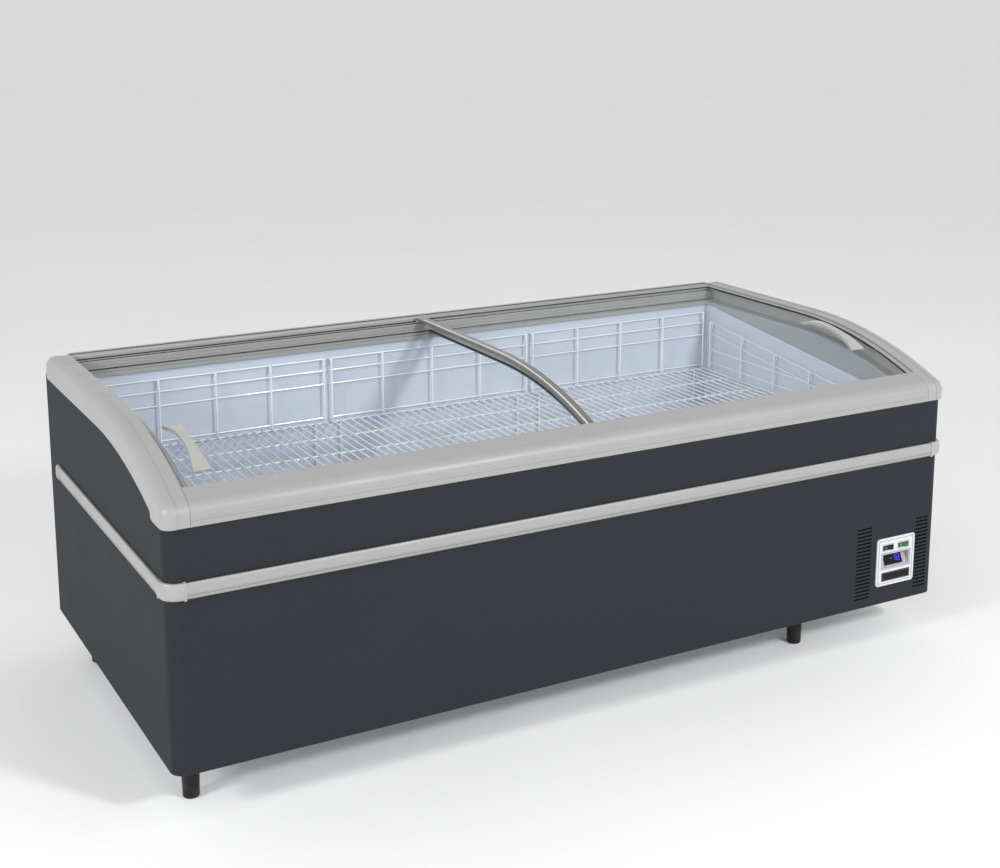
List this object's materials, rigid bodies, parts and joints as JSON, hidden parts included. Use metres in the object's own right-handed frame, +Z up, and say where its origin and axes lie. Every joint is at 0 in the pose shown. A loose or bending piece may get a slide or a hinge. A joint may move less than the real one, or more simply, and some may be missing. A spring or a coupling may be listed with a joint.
{
  "type": "chest freezer",
  "caption": "Supermarket island chest freezer with a dark steel body, pale top frame, bumper rail, sliding curved glass lids, wire guards and a small control panel.",
  "frame": {"origin": "on the floor under the middle of the overall box, at the level the feet stand on", "axes": "+X along the length to the right seen from the front, the front faces -Y, +Z up"},
  "size_m": [2.102, 1.012, 0.7929],
  "materials": {
    "casing_steel": "satin",
    "galvanised": "satin",
    "top_frame": "satin",
    "bumper_plastic": "satin",
    "fascia_plastic": "satin",
    "liner_sheet": "satin",
    "foam": "matte",
    "white_wire": "gloss",
    "lid_glass": "gloss",
    "lid_frame": "satin",
    "handle_plastic": "satin",
    "black_plastic": "satin",
    "foot_plastic": "matte",
    "white_plastic": "satin",
    "grey_plastic": "satin",
    "display_dark": "gloss",
    "green_lamp": "gloss",
    "black_steel": "satin",
    "copper": "satin",
    "fin_aluminium": "satin",
    "rubber_black": "matte",
    "screw_steel": "polished"
  },
  "bodies": {
    "cabinet": {"casing_wrap": "casing_steel", "back_panel": "galvanised", "back_grille": "black_steel", "base_tray": "galvanised", "foot_front_left": "foot_plastic", "foot_back_left": "foot_plastic", "foot_front_right": "foot_plastic", "foot_back_right": "foot_plastic", "inner_liner": "liner_sheet", "foam_insulation": "foam", "evaporator_tube": "copper", "drain_plug": "white_plastic", "front_profile": "top_frame", "back_profile": "top_frame", "end_cap_left": "top_frame", "end_cap_right": "top_frame", "end_fascia_left": "fascia_plastic", "end_fascia_right": "fascia_plastic", "bumper_front": "bumper_plastic", "bumper_left": "bumper_plastic", "bumper_right": "bumper_plastic", "bumper_corner_left": "bumper_plastic", "bumper_corner_right": "bumper_plastic", "bumper_end_caps": "bumper_plastic", "guards_back": "white_wire", "guards_front": "white_wire", "guard_left": "white_wire", "guard_right": "white_wire", "floor_grids": "white_wire", "control_plate": "white_plastic", "plate_screws": "screw_steel", "label_plate": "black_plastic", "display_housing": "grey_plastic", "display_window": "display_dark", "condenser_tube": "copper", "condenser_fins": "fin_aluminium", "fan_shroud": "galvanised", "fan_motor": "black_steel", "compressor": "black_steel", "compressor_mounts": "rubber_black", "refrigerant_pipes": "copper", "evaporation_tray": "black_plastic", "electrical_box": "black_plastic", "mains_gland": "black_plastic"},
    "lid_left": {"lid_left_glass": "lid_glass", "lid_left_outer_frame": "lid_frame", "lid_left_inner_frame": "lid_frame", "lid_left_front_runner": "lid_frame", "lid_left_rear_runner": "lid_frame", "lid_left_handle": "handle_plastic"},
    "lid_right": {"lid_right_glass": "lid_glass", "lid_right_outer_frame": "lid_frame", "lid_right_inner_frame": "lid_frame", "lid_right_front_runner": "lid_frame", "lid_right_rear_runner": "lid_frame", "lid_right_handle": "handle_plastic"},
    "rocker_power": {"switch_power": "black_plastic"},
    "rocker_light": {"switch_light": "green_lamp"},
    "fan": {"fan_blade": "fin_aluminium"}
  },
  "joints": [
    {"name": "lid_left_slide", "type": "slide", "parent": "cabinet", "child": "lid_left", "axis": [1, 0, 0], "range_m": [0, 0.9]},
    {"name": "lid_right_slide", "type": "slide", "parent": "cabinet", "child": "lid_right", "axis": [1, 0, 0], "range_m": [-0.9, 0]},
    {"name": "rocker_power_tilt", "type": "hinge", "parent": "cabinet", "child": "rocker_power", "pos_m": [0.8725, -0.4962, 0.2615], "axis": [0, 0, 1], "range_deg": [0, 14]},
    {"name": "rocker_light_tilt", "type": "hinge", "parent": "cabinet", "child": "rocker_light", "pos_m": [0.9245, -0.4962, 0.2615], "axis": [0, 0, 1], "range_deg": [0, 14]},
    {"name": "fan_spin", "type": "hinge", "parent": "cabinet", "child": "fan", "pos_m": [0.865, -0.345, 0.25], "axis": [0, 1, 0], "continuous": true}
  ]
}
